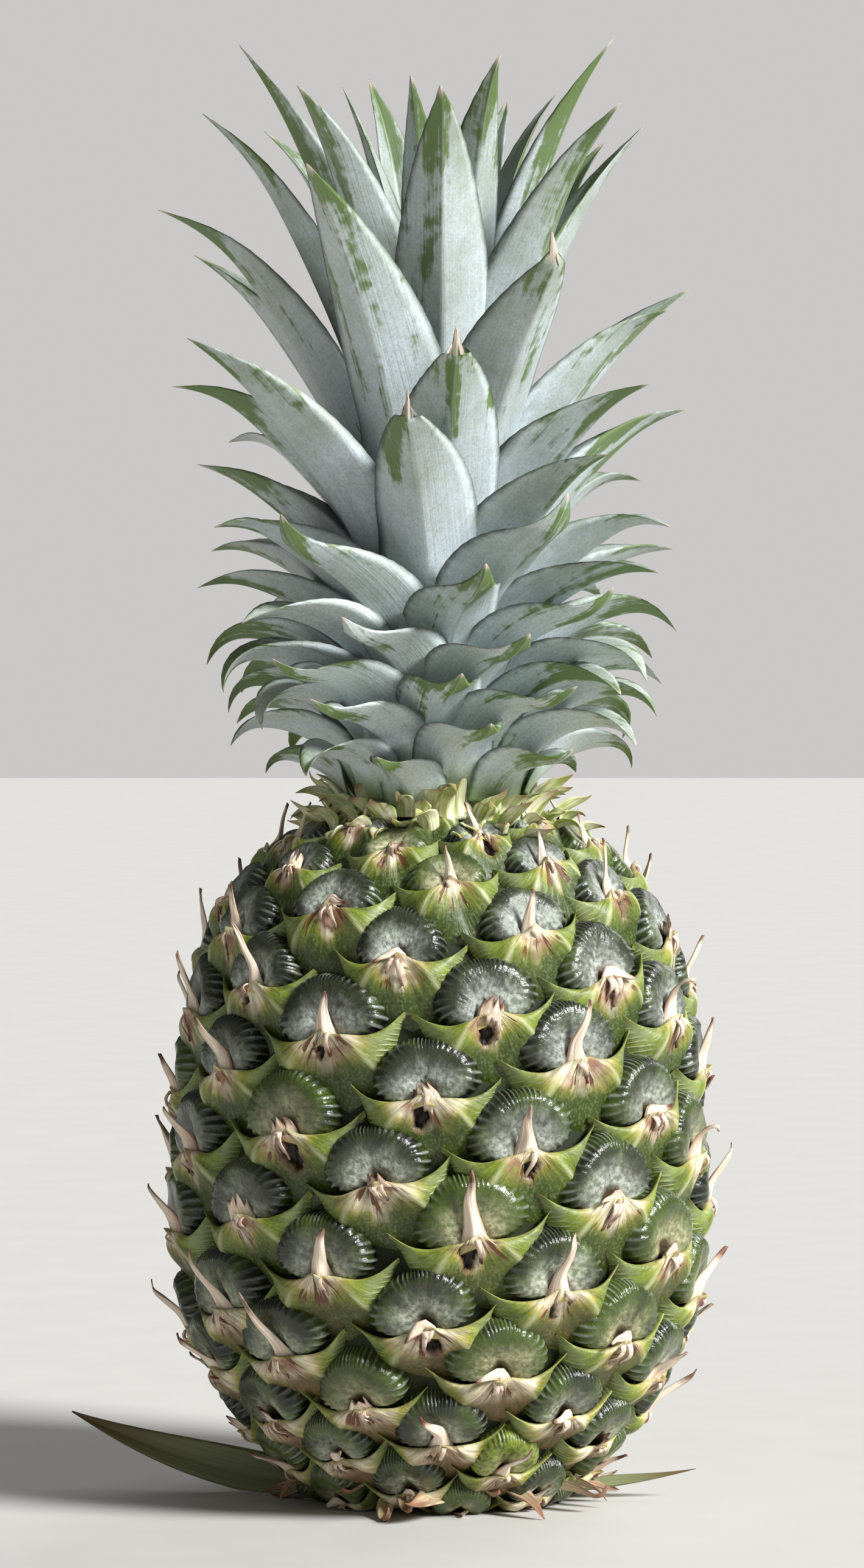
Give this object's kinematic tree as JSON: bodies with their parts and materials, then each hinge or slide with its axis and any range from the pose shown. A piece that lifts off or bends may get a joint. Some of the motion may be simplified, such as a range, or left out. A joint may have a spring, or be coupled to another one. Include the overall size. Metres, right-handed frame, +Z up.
{
  "type": "pineapple",
  "caption": "Whole fresh pineapple standing on its cut stalk end, with an armoured rind of spiral eyes and an upright leafy crown.",
  "frame": {"origin": "centre of the flat rest at the bottom of the fruit, on the fruit's own axis", "axes": "+Z up along the fruit's axis, from the stalk end to the crown; -Y towards the side the picture shows; +X to the right of that view"},
  "size_m": [0.1497, 0.1287, 0.3319],
  "materials": {
    "fruit": "satin",
    "stalk": "matte",
    "dry_leaf": "matte",
    "leaf": "satin"
  },
  "bodies": {
    "root": {"fruit": "fruit", "cut_stalk": "stalk", "stalk_leaf_left": "dry_leaf", "stalk_leaf_right": "dry_leaf", "crown_stem": "leaf", "crown_leaf_42": "leaf", "crown_leaf_43": "leaf", "crown_leaf_44": "leaf", "crown_leaf_45": "leaf", "crown_leaf_46": "leaf", "crown_leaf_47": "leaf", "crown_leaf_48": "leaf", "crown_leaf_49": "leaf", "crown_leaf_50": "leaf", "crown_leaf_51": "leaf", "crown_leaf_52": "leaf", "crown_leaf_53": "leaf", "crown_leaf_54": "leaf", "crown_leaf_55": "leaf", "crown_leaf_56": "leaf", "crown_leaf_57": "leaf", "crown_leaf_58": "leaf", "crown_leaf_59": "leaf", "crown_leaf_60": "leaf", "crown_leaf_61": "leaf", "crown_leaf_62": "leaf", "crown_leaf_63": "leaf", "crown_leaf_64": "leaf", "crown_leaf_65": "leaf", "crown_leaf_66": "leaf", "crown_leaf_67": "leaf", "crown_leaf_68": "leaf", "crown_leaf_69": "leaf", "crown_leaf_70": "leaf", "crown_leaf_71": "leaf", "crown_leaf_72": "leaf", "crown_leaf_73": "leaf", "crown_leaf_74": "leaf", "crown_leaf_75": "leaf", "crown_leaf_76": "leaf", "crown_leaf_77": "leaf", "crown_leaf_78": "leaf", "crown_leaf_79": "leaf", "crown_leaf_80": "leaf", "crown_leaf_81": "leaf", "crown_leaf_82": "leaf", "crown_leaf_83": "leaf", "crown_leaf_84": "leaf", "crown_leaf_85": "leaf", "crown_leaf_86": "leaf", "crown_leaf_87": "leaf", "crown_leaf_88": "leaf", "crown_leaf_89": "leaf", "crown_leaf_90": "leaf", "crown_leaf_91": "leaf", "crown_leaf_92": "leaf", "crown_leaf_93": "leaf"}
  },
  "joints": []
}
